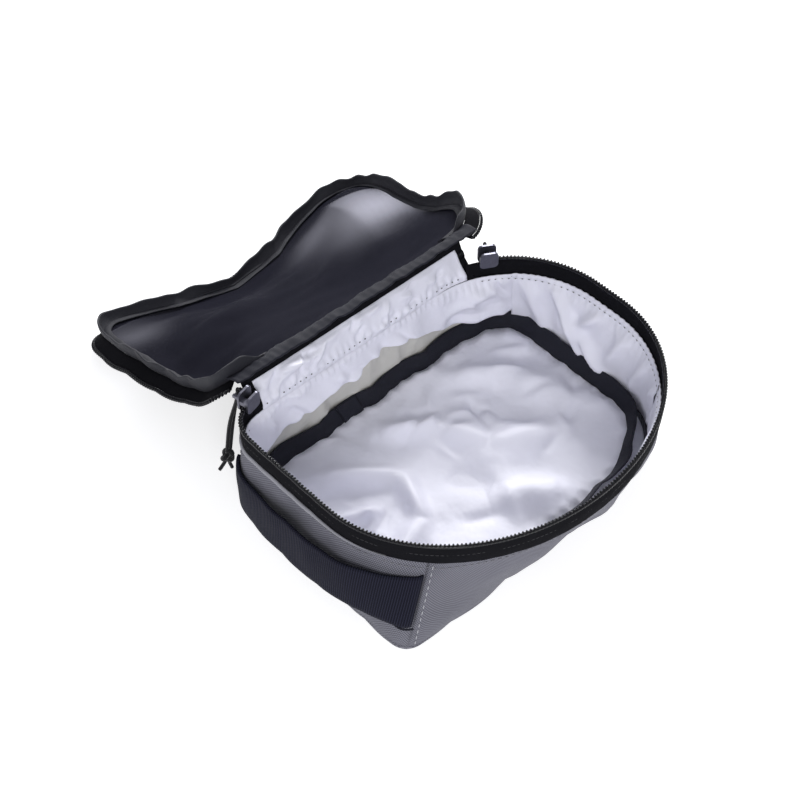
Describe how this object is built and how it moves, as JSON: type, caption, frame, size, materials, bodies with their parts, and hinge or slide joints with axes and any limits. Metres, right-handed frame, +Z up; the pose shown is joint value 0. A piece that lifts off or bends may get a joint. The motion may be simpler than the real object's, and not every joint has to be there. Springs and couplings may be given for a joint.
{
  "type": "zip-around pouch",
  "caption": "Small soft zip-around organiser pouch standing open, with a mesh lid on a fabric hinge, white lining, end grab handle and cord-pull zip sliders.",
  "frame": {"origin": "on the ground under the middle of the pouch: a point of the base panel's flat underside", "axes": "+Z up; +X along the long side, with the grab handle at -X; +Y towards the hinge, where the open lid lies"},
  "size_m": [0.2144, 0.3015, 0.0675],
  "materials": {
    "outer_fabric": "charcoal plain-weave polyester",
    "lining": "silver-white glossy nylon lining",
    "lining_backing": "grey-beige coated fabric back",
    "binding": "black woven binding tape",
    "zip_tape": "black knitted zip tape",
    "zip_coil": "black nylon coil",
    "mesh": "fine black see-through mesh",
    "webbing": "black ribbed webbing",
    "slider_metal": "gunmetal painted zinc",
    "cord": "black braided cord"
  },
  "bodies": {
    "pouch": {"base_panel": "outer_fabric", "front_panel": "outer_fabric", "handle_end_panel": "outer_fabric", "far_end_panel": "outer_fabric", "back_panel": "outer_fabric", "base_lining": "lining", "front_lining": "lining", "handle_end_lining": "lining", "far_end_lining": "lining", "back_lining_flap": "lining", "back_lining_lower": "lining_backing", "base_seam_binding": "binding", "rim_zip_tape": "zip_tape", "rim_zip_coil": "zip_coil", "handle_sewn_ends": "webbing"},
    "hinge_strip": {"hinge_strip_outer": "outer_fabric", "hinge_strip_lining": "lining", "closed_chain_end": "zip_coil"},
    "lid": {"lid_mesh_panel": "mesh", "lid_hinge_band": "binding", "lid_border_binding": "binding", "lid_zip_tape": "zip_tape", "lid_zip_coil": "zip_coil"},
    "handle": {"grab_handle": "webbing"},
    "slider_left": {"left_slider": "slider_metal"},
    "slider_right": {"right_slider": "slider_metal"},
    "pull_left": {"left_cord_pull": "cord"},
    "pull_right": {"right_cord_pull": "cord"}
  },
  "joints": [
    {"name": "strip_fold", "type": "hinge", "parent": "pouch", "child": "hinge_strip", "pos_m": [0, 0.0745, 0.047], "axis": [1, 0, 0], "range_deg": [0, 27]},
    {"name": "lid_fold", "type": "hinge", "parent": "hinge_strip", "child": "lid", "pos_m": [0, 0.08338, 0.06442], "axis": [1, 0, 0], "range_deg": [0, 177]},
    {"name": "handle_swing", "type": "hinge", "parent": "pouch", "child": "handle", "pos_m": [-0.1012, 0.0055, 0.0245], "axis": [-0.0419, 0.9991, 0], "range_deg": [-12, 12]},
    {"name": "left_slider_travel", "type": "hinge", "parent": "pouch", "child": "slider_left", "pos_m": [-0.081, 0.056, 0.0608], "axis": [0, 0, 1], "range_deg": [0, 36]},
    {"name": "right_slider_travel", "type": "hinge", "parent": "pouch", "child": "slider_right", "pos_m": [0.042, 0.017, 0.0608], "axis": [0, 0, 1], "range_deg": [-52, 0]},
    {"name": "left_pull_swing", "type": "hinge", "parent": "slider_left", "child": "pull_left", "pos_m": [-0.08734, 0.08142, 0.0608], "axis": [0.9703, 0.2419, 0], "range_deg": [0, 65]},
    {"name": "right_pull_swing", "type": "hinge", "parent": "slider_right", "child": "pull_right", "pos_m": [0.0746, 0.07347, 0.0608], "axis": [0.866, -0.5, 0], "range_deg": [0, 45]}
  ],
  "couplings": [
    {"joint": "strip_fold", "follows": "lid_fold", "ratio": 0.15254}
  ]
}
